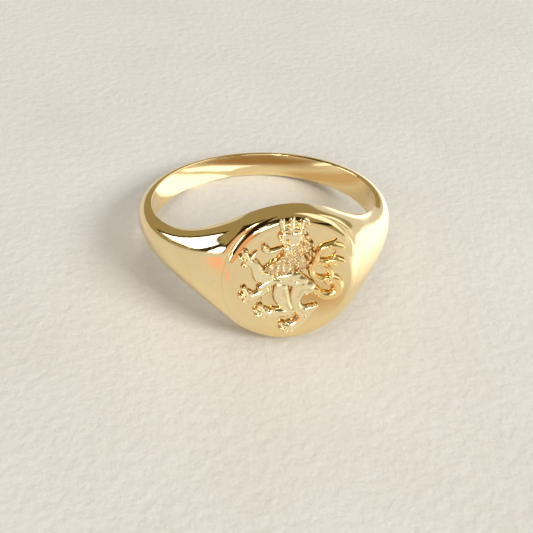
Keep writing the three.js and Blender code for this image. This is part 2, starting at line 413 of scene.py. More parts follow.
# %% Forge a stretch of hoop
def forge_hoop(first, last, steps):
    """Forges the wire to the hoop's law and closes its two ends."""
    bm = bend_wire(first, last, steps)
    outward = bm.verts.layers.float_vector.new("outward")
    angles = np.radians(np.linspace(first, last, steps + 1))
    rings = [forge_ring(angle) for angle in angles]
    wire_points = 2 * HALF_SECTION_POINTS
    for vert in bm.verts:
        x, y, z = vert.co
        passed = math.degrees(math.atan2(x, -y)) - first
        ring = round(steps * ((passed + 1) % 360 - 1) / (last - first))
        turn = math.atan2(z, math.hypot(x, y) - BEND_RADIUS)
        number = round(turn / (2 * math.pi) * wire_points) % wire_points
        points, directions = rings[ring]
        vert.co = points[number]
        vert[outward] = directions[number]
    rims = [edge for edge in bm.edges if edge.is_boundary]
    caps = bmesh.ops.holes_fill(bm, edges=rims, sides=0)["faces"]
    bmesh.ops.recalc_face_normals(bm, faces=bm.faces)
    bm.faces.index_update()
    return bm, {face.index for face in caps}


# %% Let the polish run over the seams
def smooth_skin(piece, cap_numbers):
    """Keeps the law's own directions on the skin, so that the polish runs over the seams."""
    mesh = piece.data
    count = len(mesh.vertices)
    values = np.empty(count * 3, dtype=np.float32)
    mesh.attributes["outward"].data.foreach_get("vector", values)
    outward = values.reshape(-1, 3) @ np.array(bench_turn.to_3x3()).T
    directions = []
    for face in mesh.polygons:
        if face.index in cap_numbers:
            directions += [face.normal[:]] * face.loop_total
            face.use_smooth = False
        else:
            directions += [outward[vertex].tolist() for vertex in face.vertices]
    mesh.normals_split_custom_set(directions)
    mesh.attributes.remove(mesh.attributes["outward"])


# %% Shank, shoulders and head
HEAD_SEAM = 30
SHANK_SEAM = 75
stretches = {
    "shank": (SHANK_SEAM, 360 - SHANK_SEAM, 220),
    "shoulder_right": (HEAD_SEAM, SHANK_SEAM, 100),
    "shoulder_left": (-SHANK_SEAM, -HEAD_SEAM, 100),
    "head_block": (-HEAD_SEAM, HEAD_SEAM, 240),
}
for name, (first, last, steps) in stretches.items():
    bm, cap_numbers = forge_hoop(first, last, steps)
    piece = finish_piece(bm, "gold_" + name, POLISHED)
    smooth_skin(piece, cap_numbers)
    print(name, len(piece.data.polygons), "faces")

# %% [markdown]
# ## The table
# The table is a round plate with a rolled edge. Its profile is drawn once, from the middle out, over
# the roll and back under, and is spun round the table's axis like a pot on a wheel.

# %% Table plate
TABLE_ACROSS = 9.6
TABLE_ALONG = 9.94
TABLE_EDGE_ROLL = 0.8
TABLE_SINK = 0.06
ROLL_STEPS = 26
FIELD_STEPS = 10
TABLE_TURNS = 256
SHARPEST_SMOOTH = math.radians(40)
WELD = 1e-5


def spin_table():
    """Draws half the profile, spins it and stretches the disc to its two diameters."""
    bm = bmesh.new()
    half = TABLE_ACROSS / 2
    field_edge = half - TABLE_EDGE_ROLL
    profile = []
    for step in range(FIELD_STEPS):
        profile.append(bm.verts.new((field_edge * step / FIELD_STEPS, -table_height, 0)))
    for step in range(ROLL_STEPS + 1):
        turn = math.pi / 2 * (1 - step / ROLL_STEPS)
        reach = half - TABLE_EDGE_ROLL * (1 - math.cos(turn))
        height = seat_height + TABLE_EDGE_DROP * math.sin(turn)
        profile.append(bm.verts.new((reach, -height, 0)))
    foot = -seat_height + TABLE_SINK
    profile.append(bm.verts.new((half, foot, 0)))
    profile.append(bm.verts.new((0, foot, 0)))
    edges = [bm.edges.new(pair) for pair in zip(profile, profile[1:])]
    bmesh.ops.spin(
        bm, geom=profile + edges, axis=(0, -1, 0), cent=(0, 0, 0),
        angle=2 * math.pi, steps=TABLE_TURNS, use_merge=True,
    )
    bmesh.ops.remove_doubles(bm, verts=bm.verts, dist=WELD)
    bmesh.ops.scale(bm, verts=bm.verts, vec=(1, 1, TABLE_ALONG / TABLE_ACROSS))
    bmesh.ops.recalc_face_normals(bm, faces=bm.faces)
    for edge in bm.edges:
        edge.smooth = edge.calc_face_angle(0) < SHARPEST_SMOOTH
    return bm


table = finish_piece(spin_table(), "gold_table_plate", POLISHED)
print("table plate", len(table.data.polygons), "faces")

# %% [markdown]
# ## Gold of the relief
# The relief comes from the mould with a fine skin and is only given a soft brush, so it is hazier than the
# table.
# Its colour holds painted shade: brown low down, where the low places of a relief lie in shade, and
# pale gold high up. The colour therefore runs with the height over the table, which is one distance
# along the table's outward direction. The mane has deep gaps, so its painted shade reaches higher up,
# and the tail is a deeper, yellower gold.

# %% Gold of the relief
# Height over the table, in millimetres, at which the painted shade of the relief has faded out.
PAINTED_SHADE_HEIGHT = 0.3
CAST_HAZE = (0.15, 0.25)
CAST_SKIN_DEPTH = 0.003


def height_over_table(material, place, low, high):
    """0 at the low height over the table and 1 at the high one."""
    nodes = material.node_tree.nodes
    outwards = (to_bench.to_3x3() @ Vector((0, -1, 0))).normalized()
    on_table = outwards.dot(to_bench @ Vector((0, -table_height, 0))) / METRES_PER_MM
    along = nodes.new("ShaderNodeVectorMath")
    along.operation = "DOT_PRODUCT"
    along.inputs[1].default_value = outwards
    material.node_tree.links.new(place, along.inputs[0])
    rise = nodes.new("ShaderNodeMapRange")
    rise.inputs["From Min"].default_value = on_table + low
    rise.inputs["From Max"].default_value = on_table + high
    material.node_tree.links.new(along.outputs["Value"], rise.inputs["Value"])
    return rise.outputs["Result"]


def relief_gold(name, foot, top, low=0, high=PAINTED_SHADE_HEIGHT):
    """Hazy gold with painted shade: the foot colour low down, where the relief lies in shade, and the top
    colour high up.
    """
    material, shader = new_material(name)
    link = material.node_tree.links.new
    place = millimetres(material)
    shader.inputs["Metallic"].default_value = 1
    # Painted shade: the colour darkens towards the table, where the low places of the relief lie in shade.
    hairline_space_and_painted_shade = height_over_table(material, place, low, high)
    link(blend_colours(material, hairline_space_and_painted_shade, foot, top), shader.inputs["Base Color"])
    haze = spread(material, noise(material, place, 3, detail=4), *CAST_HAZE)
    link(haze, shader.inputs["Roughness"])
    cast_skin = bump(material, noise(material, place, 7, detail=4), CAST_SKIN_DEPTH)
    link(cast_skin, shader.inputs["Normal"])
    return material


# The first colour of each is painted shade at the foot of the relief; the second is the gold on top.
RELIEF = relief_gold("relief_gold", (0.46, 0.27, 0.09), (1.0, 0.87, 0.56))
MANE = relief_gold("mane_gold", (0.60, 0.39, 0.16), (1.0, 0.88, 0.60), 0.14, 0.38)
TAIL = relief_gold("tail_gold", (0.74, 0.48, 0.17), (1.0, 0.78, 0.38))
print("relief finishes:", RELIEF.name, MANE.name, TAIL.name)

# %% [markdown]
# ## The relief
# A modeller builds a relief up from wax. Small beads of wax laid in a line make a limb, larger ones
# make a chest or a thigh, and pressing with a tool makes an eye or the gap between two toes. Here a
# bead is a flattened ball on the table. The beads of one piece are melted into one skin by a voxel
# remesh, the skin is smoothed, and the table's plane cuts off what lies under it.

# %% One bead of wax
BIG_BEAD = 0.3
WAX_SPREAD = 1.34


def bead(bm, x, up, reach, height, stretch=1.0, turn=0.0):
    """One flattened ball: reach is half its width and height is what stands over the table."""
    place = Matrix.Translation((x, -table_height, up))
    swing = Matrix.Rotation(math.radians(-turn), 4, "Y")
    reach *= WAX_SPREAD
    size = Matrix.Diagonal((reach * stretch, height, reach, 1))
    fineness = 4 if reach > BIG_BEAD else 2
    bmesh.ops.create_icosphere(bm, subdivisions=fineness, radius=1, matrix=place @ swing @ size)


# %% Rolls of wax
BEAD_OVERLAP = 0.25
CURVE_STEPS = 24


def curve_through(stops, steps):
    """Points on a smooth curve through the stops, each stop a tuple of numbers."""
    points = [np.array(stop, dtype=float) for stop in stops]
    points = [2 * points[0] - points[1]] + points + [2 * points[-1] - points[-2]]
    curve = []
    for a, b, c, d in zip(points, points[1:], points[2:], points[3:]):
        for part in np.arange(steps) / steps:
            bend = (2 * a - 5 * b + 4 * c - d) * part ** 2 + (3 * b - a - 3 * c + d) * part ** 3
            curve.append(b + ((c - a) * part + bend) / 2)
    curve.append(points[-2])
    return curve


def join(bm, lump):
    """Adds a lump of wax to the piece."""
    mesh = bpy.data.meshes.new("lump")
    lump.to_mesh(mesh)
    lump.free()
    bm.from_mesh(mesh)
    bpy.data.meshes.remove(mesh)


def roll(bm, *stops, height=0.42):
    """A roll of wax along a curve. A stop is (x, up, half width) and may end with its own height."""
    full = [stop if len(stop) == 4 else (*stop, height) for stop in stops]
    lump = bmesh.new()
    last = None
    for x, up, reach, tall in curve_through(full, CURVE_STEPS):
        if last is None or math.dist(last, (x, up)) > BEAD_OVERLAP * reach:
            bead(lump, x, up, reach, tall)
            last = (x, up)
    join(bm, lump)


# %% Points and dents
def taper(bm, *stops, width=0.1, tip=0.03, height=0.3, tip_height=0.14):
    """A roll that runs out to a point, as a claw or the end of a lock does. A stop is (x, up)."""
    count = len(stops) - 1
    shaped = []
    for number, (x, up) in enumerate(stops):
        share = (number / count) ** 1.5
        shaped.append((x, up, width + (tip - width) * share, height + (tip_height - height) * share))
    roll(bm, *shaped)


def press(bm, *dents):
    """Presses dents into the skin. A dent is (x, up, reach, depth)."""
    for x, up, reach, depth in dents:
        for vert in bm.verts:
            away = math.hypot(vert.co.x - x, vert.co.z - up) / reach
            if away < 1:
                vert.co.y += depth * (1 - away * away) ** 2


# %% Melt the beads into one skin
MELT_SIZE = 0.027
SMOOTH_TURNS = 5
RELIEF_SINK = 0.01


def melt(bm, dents=()):
    """Turns loose beads into one smooth skin and cuts it off at the table."""
    mesh = bpy.data.meshes.new("wax")
    bm.to_mesh(mesh)
    bm.free()
    wax = bpy.data.objects.new("wax", mesh)
    bpy.context.scene.collection.objects.link(wax)
    remesh = wax.modifiers.new("melt", "REMESH")
    remesh.mode = "VOXEL"
    remesh.voxel_size = MELT_SIZE
    smooth = wax.modifiers.new("smooth", "SMOOTH")
    smooth.factor = 0.5
    smooth.iterations = SMOOTH_TURNS
    skin = wax.evaluated_get(bpy.context.evaluated_depsgraph_get()).to_mesh()
    melted = bmesh.new()
    melted.from_mesh(skin)
    wax.to_mesh_clear()
    bpy.data.objects.remove(wax)
    bpy.data.meshes.remove(mesh)
    press(melted, *dents)
    geometry = melted.verts[:] + melted.edges[:] + melted.faces[:]
    bmesh.ops.bisect_plane(
        melted, geom=geometry, dist=WELD,
        plane_co=(0, RELIEF_SINK - table_height, 0), plane_no=(0, 1, 0), clear_outer=True,
    )
    bmesh.ops.holes_fill(melted, edges=[edge for edge in melted.edges if edge.is_boundary], sides=0)
    bmesh.ops.recalc_face_normals(melted, faces=melted.faces)
    return melted


def cast_relief(name, bm, dents=(), material=RELIEF):
    """Melts the beads and hands the piece over to the ring."""
    piece = finish_piece(melt(bm, dents), "gold_" + name, material)
    print(name, len(piece.data.polygons), "faces")
    return piece


# %% [markdown]
# ## Paws
# A heraldic paw spreads its toes like a hand: a round pad, three or four swollen toes, and a small
# claw on each. Every paw is made by one function from the pad and the tips of its toes.

# %% Paw
TOE_REACH = 0.16


def paw(bm, pad, *tips, pad_reach=0.3, height=0.42):
    """A pad, and for each tip a toe that swells at the knuckle and ends in a claw."""
    bead(bm, *pad, pad_reach, height * 0.9)
    for tip in tips:
        way = np.subtract(tip, pad)
        knuckle = np.add(pad, way * 0.5)
        end = np.add(pad, way * 0.74)
        roll(bm, (*pad, TOE_REACH), (*knuckle, TOE_REACH), (*end, TOE_REACH * 1.15), height=height)
        taper(bm, end, tip, width=TOE_REACH * 0.75, height=height * 0.75)


# %% [markdown]
# ## Crown
# The crown is a band with three leaves, the right one curled over. A low sheet of wax joins the
# leaves, so that the gaps between them are shallow, as they are when a mould has to let go of them.

# %% Crown
crown = bmesh.new()
roll(crown, (-0.8, 4.12, 0.14), (-0.1, 4.18, 0.15), (0.56, 4.1, 0.14), height=0.43)
roll(crown, (-0.72, 4.34, 0.2), (-0.1, 4.4, 0.2), (0.42, 4.34, 0.2), height=0.27)
roll(crown, (-0.78, 4.2, 0.13), (-0.86, 4.55, 0.16), (-0.82, 4.84, 0.12), height=0.41)
roll(crown, (-0.7, 4.5, 0.08), (-0.56, 4.6, 0.09), height=0.34)
roll(crown, (-0.18, 4.2, 0.14), (-0.22, 4.56, 0.19), (-0.16, 4.88, 0.14), height=0.43)
roll(crown, (-0.3, 4.5, 0.08), (-0.46, 4.6, 0.09), height=0.34)
roll(crown, (-0.12, 4.5, 0.08), (0.06, 4.6, 0.09), height=0.34)
roll(
    crown, (0.4, 4.2, 0.14), (0.44, 4.52, 0.16), (0.56, 4.76, 0.14), (0.78, 4.7, 0.12), (0.9, 4.48, 0.1),
    height=0.41,
)
roll(crown, (0.36, 4.5, 0.08), (0.24, 4.6, 0.09), height=0.34)
cast_relief("lion_crown", crown, dents=[(-0.5, 4.42, 0.13, 0.16), (0.1, 4.42, 0.13, 0.16)])

# %% [markdown]
# ## Head and tongue
# The head looks to the left. Three large beads make the skull and the cheek, one roll makes the brow
# and the nose, and smaller beads make the muzzle, the lower jaw and the chin. A short roll is the ear.
# The eye, the mouth, the nostril and the hollow of the jaw are pressed in. The tongue hangs far out
# and curls up at its end, as it does in heraldry.

# %% Head
head = bmesh.new()
bead(head, 0.05, 3.55, 0.46, 0.44)
bead(head, -0.35, 3.62, 0.36, 0.44)
bead(head, -0.12, 3.05, 0.42, 0.38)
roll(
    head, (-0.35, 3.9, 0.13), (-0.7, 3.9, 0.15), (-0.92, 3.66, 0.16), (-0.9, 3.36, 0.13),
    (-0.68, 3.12, 0.12), height=0.46,
)
bead(head, -0.7, 3.42, 0.22, 0.36)
roll(head, (-0.62, 3.1, 0.11), (-0.3, 3.0, 0.14), (0.0, 3.1, 0.14), height=0.42)
bead(head, -0.42, 2.62, 0.31, 0.42)
bead(head, -0.66, 2.76, 0.16, 0.36)
roll(head, (0.25, 3.85, 0.12), (0.48, 3.98, 0.12), (0.66, 3.84, 0.08), height=0.46)
eye_dent = (-0.52, 3.44, 0.15, 0.26)
mouth_dent = (-0.62, 2.95, 0.13, 0.2)
jaw_dent = (-0.4, 2.62, 0.12, 0.12)
nostril_dent = (-0.98, 3.52, 0.07, 0.1)
cast_relief("lion_head", head, dents=[eye_dent, mouth_dent, jaw_dent, nostril_dent])

# %% Tongue
tongue = bmesh.new()
roll(
    tongue, (-0.6, 2.86, 0.1), (-0.95, 2.8, 0.1), (-1.35, 2.68, 0.12), (-1.72, 2.6, 0.15),
    (-2.0, 2.78, 0.17), (-2.04, 3.06, 0.12), height=0.34,
)
bead(tongue, -1.9, 2.8, 0.2, 0.38)
cast_relief("lion_tongue", tongue)

# %% [markdown]
# ## The mane
# The mane is combed from the back of the head down to the chest, in rows of pointed locks that
# overlap like tiles on a low bed of large beads. Three combing lines are enough: one down the front,
# one down the middle and one down the back. Every lock lies between them, follows their direction,
# and each second row is shifted by half a lock.

# %% Combing lines of the mane
MANE_FRONT = [(-0.62, 2.5), (-0.95, 2.05), (-1.5, 1.7), (-2.05, 1.3), (-2.3, 0.95)]
MANE_MIDDLE = [(0.05, 3.2), (0.12, 2.5), (-0.2, 1.75), (-0.6, 1.2), (-0.95, 0.6)]
MANE_BACK = [(0.55, 3.82), (1.02, 3.3), (1.2, 2.6), (1.2, 1.8), (0.85, 0.85)]
COMB_STEPS = 20


def combed(across, down):
    """A point of the mane: across runs from the front to the back, down from the head to the tips."""
    lines = [curve_through(line, COMB_STEPS) for line in (MANE_FRONT, MANE_MIDDLE, MANE_BACK)]
    last = COMB_STEPS * (len(MANE_FRONT) - 1)
    number = min(int(down * last), last)
    front, middle, back = (line[number] for line in lines)
    bow = 4 * across * (1 - across)
    flat = front * (1 - across) + back * across
    return flat + (middle - (front + back) / 2) * bow


# %% Mane
MANE_BED = [
    (0.5, 0.2, 0.45), (0.5, 0.45, 0.6), (0.3, 0.6, 0.55), (0.7, 0.6, 0.5),
    (0.5, 0.75, 0.6), (0.2, 0.75, 0.45), (0.8, 0.35, 0.4), (0.85, 0.8, 0.35),
]
MANE_BED_HEIGHT = 0.28
MANE_ROWS = 8
LOCKS_IN_A_ROW = 7
FIRST_ROW = 0.06
ROWS_REACH = 0.86
LOCK_LENGTH = (0.42, 0.52)
LOCK_SHIFT = 0.12
LOCK_BEND = 0.18
random.seed(11)

mane = bmesh.new()
for across, down, reach in MANE_BED:
    bead(mane, *combed(across, down), reach, MANE_BED_HEIGHT)
for row in range(MANE_ROWS):
    down = FIRST_ROW + ROWS_REACH * row / (MANE_ROWS - 1)
    shift = 0.5 if row % 2 else 0
    for number in range(LOCKS_IN_A_ROW):
        across = (number + shift + random.uniform(-LOCK_SHIFT, LOCK_SHIFT)) / (LOCKS_IN_A_ROW - 0.5)
        start = combed(across, max(down - 0.05, 0))
        way = combed(across, min(down + 0.12, 1)) - start
        way = way / np.linalg.norm(way) * random.uniform(*LOCK_LENGTH)
        bend = np.array([-way[1], way[0]]) * random.uniform(-LOCK_BEND, LOCK_BEND)
        middle = start + way * 0.5 + bend
        taper(mane, start, middle, start + way, width=0.1, tip=0.03, height=0.47, tip_height=0.22)
cast_relief("lion_mane", mane, material=MANE)

# %% [markdown]
# ## Body and legs
# The lion stands on its near hind leg and strikes with the others. The waist is slim between a deep
# chest and strong thighs, so the body is three large beads with one roll along the chest. Each leg
# begins wide inside the body, narrows to the joint and swells again at the foot.

# %% Body
body = bmesh.new()
bead(body, -0.35, 0.42, 0.42, 0.42, stretch=1.9, turn=8)
bead(body, 0.35, 0.05, 0.48, 0.44, stretch=1.5, turn=-28)
bead(body, 0.92, -0.45, 0.48, 0.45, stretch=1.2, turn=-30)
roll(body, (-1.5, 0.45, 0.18), (-1.0, 0.28, 0.22), (-0.4, 0.18, 0.24), (0.1, -0.1, 0.22), height=0.42)
cast_relief("lion_body", body, dents=[(0.15, 0.28, 0.28, 0.1), (0.62, -0.1, 0.25, 0.08)])

# %% Near hind leg
hind_near = bmesh.new()
roll(
    hind_near, (0.5, -0.45, 0.5, 0.45), (0.25, -1.05, 0.38), (0.22, -1.6, 0.29), (0.4, -2.1, 0.31),
    (0.7, -2.45, 0.34),
)
roll(hind_near, (0.6, -2.45, 0.3), (1.1, -2.3, 0.3), (1.62, -2.04, 0.17), height=0.4)
roll(hind_near, (0.95, -2.5, 0.36), (0.7, -2.9, 0.34), (0.35, -3.3, 0.3), (-0.05, -3.52, 0.28), height=0.44)
paw(hind_near, (-0.3, -3.45), (-1.02, -3.15), (-0.95, -3.72), (-0.5, -4.08), (0.05, -4.05))
hind_near_dents = [
    (0.3, -1.4, 0.3, 0.06),
    (-0.66, -3.55, 0.11, 0.16),
    (-0.35, -3.78, 0.1, 0.16),
    (0.85, -2.62, 0.2, 0.08),
]
cast_relief("lion_hindleg_near", hind_near, dents=hind_near_dents)

# %% Far hind leg
hind_far = bmesh.new()
roll(
    hind_far, (-0.85, -0.35, 0.42), (-0.8, -1.0, 0.48), (-0.55, -1.6, 0.38), (-0.25, -2.1, 0.28),
    height=0.38,
)
roll(hind_far, (-0.15, -2.25, 0.3), (-0.7, -2.3, 0.3), (-1.2, -2.25, 0.28), (-1.7, -2.28, 0.24), height=0.41)
roll(hind_far, (-1.45, -1.98, 0.14), (-1.32, -2.25, 0.18), (-1.18, -2.55, 0.14), height=0.44)
paw(hind_far, (-2.0, -2.12), (-2.42, -1.42), (-2.78, -1.85), (-2.62, -2.42), (-2.1, -2.72))
cast_relief("lion_hindleg_far", hind_far, dents=[(-2.32, -2.08, 0.12, 0.16), (-0.8, -1.2, 0.35, 0.06)])

# %% Upper foreleg
fore_upper = bmesh.new()
roll(
    fore_upper, (-1.75, 0.72, 0.38), (-2.25, 0.75, 0.4), (-2.42, 1.15, 0.34), (-2.62, 1.6, 0.3),
    (-2.92, 1.98, 0.28), height=0.43,
)
paw(fore_upper, (-3.05, 2.05), (-3.38, 2.95), (-3.75, 2.45), (-3.48, 1.42))
taper(fore_upper, (-2.85, 2.25), (-2.68, 2.5), (-2.5, 2.78), width=0.15, height=0.36)
cast_relief("lion_foreleg_upper", fore_upper, dents=[(-3.28, 2.28, 0.12, 0.16), (-3.24, 1.85, 0.1, 0.14)])

# %% Lower foreleg
fore_lower = bmesh.new()
roll(fore_lower, (-1.3, 0.4, 0.25), (-1.8, 0.12, 0.27), (-2.3, -0.15, 0.22), height=0.38)
bead(fore_lower, -1.8, -0.22, 0.24, 0.43)
roll(fore_lower, (-1.85, -0.3, 0.24), (-2.35, -0.6, 0.24), (-2.9, -0.82, 0.27), height=0.39)
paw(fore_lower, (-3.15, -0.6), (-3.52, 0.12), (-3.8, -0.62), (-3.38, -1.3))
taper(fore_lower, (-2.6, -0.8), (-2.4, -0.95), (-2.15, -1.12), width=0.13, height=0.34)
cast_relief("lion_foreleg_lower", fore_lower, dents=[(-3.38, -0.56, 0.12, 0.16), (-1.8, -0.22, 0.11, 0.16)])

# %% [markdown]
# ## Tail
# The tail leaves the back low down, makes one loop, crosses itself and parts into two tufts, each
# with a side lock above and below. A bead makes the knot and a thin roll the curl in the loop. Long
# rolls with few turns read as rope, which is how a carver cuts a lion's tail.

# %% Tail
tail = bmesh.new()
roll(
    tail, (1.0, -0.72, 0.26), (1.5, -0.66, 0.23), (1.78, -0.95, 0.23), (2.1, -1.22, 0.25), (2.6, -1.3, 0.27),
    (3.1, -1.08, 0.28), (3.25, -0.6, 0.26), (3.05, -0.15, 0.24), (2.7, 0.1, 0.22), height=0.4,
)
bead(tail, 2.42, -0.12, 0.25, 0.42)
roll(tail, (2.45, -0.28, 0.12), (2.8, -0.26, 0.12), (2.96, -0.5, 0.12), (2.76, -0.78, 0.11), height=0.33)
roll(
    tail, (2.4, 0.1, 0.2), (1.85, 0.1, 0.2), (1.4, 0.4, 0.2), (1.22, 0.85, 0.2), (1.35, 1.3, 0.19),
    (1.52, 1.7, 0.19), height=0.38,
)
roll(
    tail, (2.62, 0.15, 0.17), (2.6, 0.5, 0.17), (2.35, 0.88, 0.17), (1.98, 1.12, 0.16),
    (1.6, 1.42, 0.16), height=0.38,
)
roll(
    tail, (1.5, 1.55, 0.18), (1.62, 2.08, 0.2), (1.95, 2.46, 0.23), (2.4, 2.6, 0.22), (2.85, 2.58, 0.2),
    (3.3, 2.48, 0.13), height=0.38,
)
taper(tail, (2.3, 2.7), (2.6, 2.82), (2.9, 3.08), width=0.15, height=0.34)
taper(tail, (2.5, 2.55), (2.75, 2.4), (2.9, 2.1), width=0.14, height=0.34)
roll(
    tail, (1.5, 1.65, 0.15), (1.95, 1.44, 0.19), (2.5, 1.46, 0.21), (2.95, 1.48, 0.21),
    (3.38, 1.38, 0.13), height=0.38,
)
taper(tail, (2.4, 1.55), (2.7, 1.7), (2.85, 2.0), width=0.15, height=0.34)
taper(tail, (2.5, 1.4), (2.75, 1.2), (3.0, 0.95), width=0.15, height=0.34)
cast_relief("lion_tail", tail, material=TAIL)

# %% [markdown]
# ## The sheet under the ring
# The ring lies on a pale paper sheet. Its colour is mottled very faintly, its grain is shallow and it
# has no gloss at all, so that it gives the metal a calm, bright floor to mirror.

# %% Matt paper
SHEET_GREY = (0.70, 0.682, 0.622)
SHEET_WHITE = (0.75, 0.736, 0.69)
PAPER_GRAIN = 0.13


def sheet_finish():
    """Matt paper with a shallow grain."""
    material, shader = new_material("pale_sheet")
    link = material.node_tree.links.new
    place = millimetres(material)
    mottle = spread(material, noise(material, place, 0.07, detail=7, roughness=0.6), 0, 1)
    link(blend_colours(material, mottle, SHEET_GREY, SHEET_WHITE), shader.inputs["Base Color"])
    shader.inputs["Roughness"].default_value = 0.8
    shader.inputs["Specular IOR Level"].default_value = 0
    grain = bump(material, noise(material, place, 1.4, detail=6), PAPER_GRAIN)
    link(grain, shader.inputs["Normal"])
    return material


# %% A flat card
CARD_CELLS = 24


def fade_at(across, soft):
    """0 at the rim of a card of width 1, and 1 where its soft edge ends."""
    return min((1 - abs(across) * 2) / soft, 1) if soft else 1


def flat_card(name, material, width, height, placed, soft=0):
    """A rectangle, placed by a matrix. Soft is the share of its half width in which it fades out."""
    bm = bmesh.new()
    bmesh.ops.create_grid(bm, x_segments=CARD_CELLS, y_segments=CARD_CELLS, size=0.5)
    fade = bm.verts.layers.float.new("fade")
    for vert in bm.verts:
        vert[fade] = fade_at(vert.co.x, soft) * fade_at(vert.co.y, soft)
    bmesh.ops.scale(bm, verts=bm.verts, vec=(width, height, 1))
    bmesh.ops.transform(bm, verts=bm.verts, matrix=placed)
    mesh = bpy.data.meshes.new(name)
    bm.to_mesh(mesh)
    bm.free()
    mesh.materials.append(material)
    card = bpy.data.objects.new(name, mesh)
    bpy.context.scene.collection.objects.link(card)
    return card


# %% The sheet it lies on
SHEET_SIZE = 1.6
flat_card("sheet", sheet_finish(), SHEET_SIZE, SHEET_SIZE, Matrix.Identity(4))
print("the sheet is", SHEET_SIZE, "m across")

# %% [markdown]
# ## Light
# A large window at the front right lights the sheet and throws the soft shadow to the back left. A
# broad ceiling and a weak fill from the front lighten the shadow. These plain area lights are kept
# out of the mirror: what the metal shows is set by the cards of the next step. Only the small sparkle
# light does the opposite. It puts highlights on the relief and leaves the sheet alone.

# %% A soft light
ring_place = Vector((0, -0.004, 0.004))


def direction_of(azimuth, elevation):
    """Azimuth 0 is the front, 90 the right; elevation 90 is straight up."""
    turn, lift = math.radians(azimuth), math.radians(elevation)
    return Vector((
        math.sin(turn) * math.cos(lift),
        -math.cos(turn) * math.cos(lift),
        math.sin(lift),
    ))


def soft_light(name, azimuth, elevation, distance, width, height, power, colour):
    """An area light that looks at the ring and that mirror rays do not see."""
    data = bpy.data.lights.new(name, "AREA")
    data.shape = "RECTANGLE"
    data.size = width
    data.size_y = height
    data.energy = power
    data.color = colour
    light = bpy.data.objects.new(name, data)
    offset = direction_of(azimuth, elevation) * distance
    light.location = ring_place + offset
    light.rotation_euler = (-offset).to_track_quat("-Z", "Y").to_euler()
    light.visible_glossy = False
    bpy.context.scene.collection.objects.link(light)
    return light


# %% Lights
DAYLIGHT = (1.0, 0.985, 0.96)
LAMPLIGHT = (1.0, 0.97, 0.90)
soft_light("window", 48, 34, 1.3, 0.50, 0.45, 11.6, DAYLIGHT)
soft_light("ceiling", 170, 78, 0.7, 0.7, 0.7, 1.5, DAYLIGHT)
soft_light("front_fill", -20, 32, 1.0, 0.6, 0.4, 2.6, DAYLIGHT)
sparkle = soft_light("sparkle", -36, 45, 1.0, 0.30, 0.30, 8.0, LAMPLIGHT)
sparkle.visible_glossy = True
sparkle.visible_diffuse = False

# %% [markdown]
# ## Cards
# Metal shows what stands round it, so a jeweller who shows a ring sets cards round it: white
# ones make clean highlights, dark ones draw the edges, and a warm one gives gold its glow. These
# cards are seen by mirror rays only, so they change nothing on the matt sheet. Each is placed by the
# direction in which the ring sees it and by the angles that it spans, and may fade out at its edges.
# Rays that leave the gold downwards meet the sheet first, so a few patches lie on the sheet itself.

# %% A glowing card
def glow(name, colour, strength):
    """An even glow that turns clear where the card's fade value falls to 0."""
    material = bpy.data.materials.new(name)
    material.use_nodes = True
    nodes = material.node_tree.nodes
    nodes.clear()
    emission = nodes.new("ShaderNodeEmission")
    emission.inputs["Color"].default_value = (*colour, 1)
    emission.inputs["Strength"].default_value = strength
    fade = nodes.new("ShaderNodeAttribute")
    fade.attribute_name = "fade"
    clear = nodes.new("ShaderNodeBsdfTransparent")
    mixed = nodes.new("ShaderNodeMixShader")
    output = nodes.new("ShaderNodeOutputMaterial")
    link = material.node_tree.links.new
    link(fade.outputs["Fac"], mixed.inputs["Fac"])
    link(clear.outputs["BSDF"], mixed.inputs[1])
    link(emission.outputs["Emission"], mixed.inputs[2])
    link(mixed.outputs["Shader"], output.inputs["Surface"])
    return material


# %% Colours of the cards
WHITE_CARD = glow("white_card", (1.0, 0.98, 0.95), 1.3)
WINDOW_CARD = glow("window_card", (1.0, 0.98, 0.94), 7.0)
BRIGHT_CARD = glow("bright_card", (1.0, 0.97, 0.92), 1.9)
CREAM_CARD = glow("cream_card", (1.0, 0.93, 0.80), 0.72)
DARK_CARD = glow("dark_card", (0.12, 0.07, 0.04), 0.2)
WARM_CARD = glow("warm_card", (1.0, 0.50, 0.30), 0.85)
ROSE_CARD = glow("rose_card", (1.0, 0.55, 0.40), 1.05)
HALO_CARD = glow("halo_card", (1.0, 0.98, 0.94), 3.6)
UMBER_CARD = glow("umber_card", (0.42, 0.25, 0.10), 0.8)
OCHRE_CARD = glow("ochre_card", (0.85, 0.62, 0.38), 0.7)
PALE_CARD = glow("pale_card", (1.0, 0.95, 0.86), 0.9)
print("card colours:", [item.name for item in bpy.data.materials if item.name.endswith("_card")])


# %% Cards that only the metal sees
def only_in_mirrors(card):
    """Leaves the card to mirror rays."""
    card.visible_camera = False
    card.visible_diffuse = False
    card.visible_shadow = False
    card.visible_transmission = False


def mirror_card(
    name, material, azimuth, elevation, wide, high, distance=0.4, tilt=0, soft=0, seen_from=ring_place,
):
    """A card that spans wide by high degrees as seen from a point of the ring."""
    away = direction_of(azimuth, elevation)
    width = 2 * distance * math.tan(math.radians(wide / 2))
    height = 2 * distance * math.tan(math.radians(high / 2))
    moved = Matrix.Translation(Vector(seen_from) + away * distance)
    turned = (-away).to_track_quat("Z", "Y").to_matrix().to_4x4()
    placed = moved @ turned @ Matrix.Rotation(math.radians(tilt), 4, "Z")
    only_in_mirrors(flat_card(name, material, width, height, placed, soft))


# %% Patches on the sheet
PATCH_LIFT = 0.08


def patch_on_sheet(name, material, x, y, width, depth, turn=0, soft=0.5):
    """A glowing patch on the sheet, in millimetres, that only the metal sees: a painted reflection, brighter
    or darker than the sheet.
    """
    moved = Matrix.Translation(Vector((x, y, PATCH_LIFT)) * METRES_PER_MM)
    placed = moved @ Matrix.Rotation(math.radians(turn), 4, "Z")
    width *= METRES_PER_MM
    depth *= METRES_PER_MM
    only_in_mirrors(flat_card(name, material, width, depth, placed, soft))


